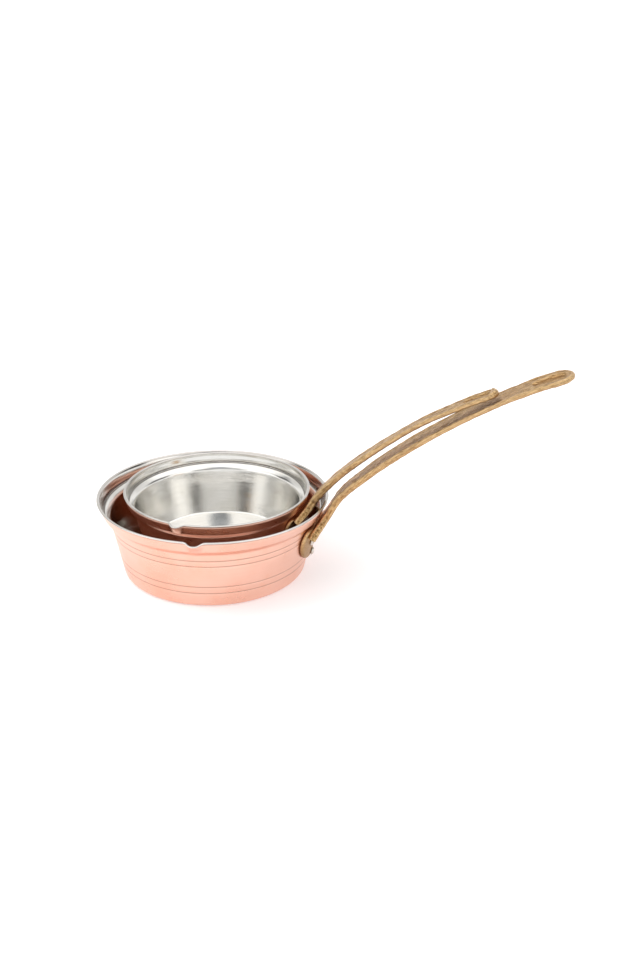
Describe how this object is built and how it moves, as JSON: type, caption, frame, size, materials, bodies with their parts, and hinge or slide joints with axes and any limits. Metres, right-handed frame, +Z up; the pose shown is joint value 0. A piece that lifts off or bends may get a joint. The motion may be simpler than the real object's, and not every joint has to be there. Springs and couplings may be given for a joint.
{
  "type": "copper saucepan",
  "caption": "Nested tin-lined copper saucepans, each with a flared rim, a side pouring lip and a riveted brass strap handle.",
  "frame": {"origin": "centre of the large pan's flat base, on the surface it stands on", "axes": "+Z up; +X from the large pan's axis along its handle; -Y towards the pouring lips"},
  "size_m": [0.3189, 0.1638, 0.1585],
  "materials": {
    "copper": "brushed and polished copper, warm pink",
    "tin": "wiped and turned tin, satin, warm grey",
    "cast_brass": "cast and filed brass, satin, darker in the hollows",
    "rivet": "tinned rivet head, worn bright"
  },
  "bodies": {
    "large_pan": {"large_pan_copper_shell": "copper", "large_pan_tin_lining": "tin", "large_pan_handle": "cast_brass", "large_pan_lip_side_rivet": "rivet", "large_pan_far_side_rivet": "rivet", "large_pan_lower_rivet": "rivet"},
    "small_pan": {"small_pan_copper_shell": "copper", "small_pan_tin_lining": "tin", "small_pan_handle": "cast_brass", "small_pan_lip_side_rivet": "rivet", "small_pan_far_side_rivet": "rivet", "small_pan_lower_rivet": "rivet"}
  },
  "joints": [
    {"name": "small_pan_lift", "type": "slide", "parent": "large_pan", "child": "small_pan", "axis": [0, 0, 1], "range_m": [0, 0.16]}
  ]
}
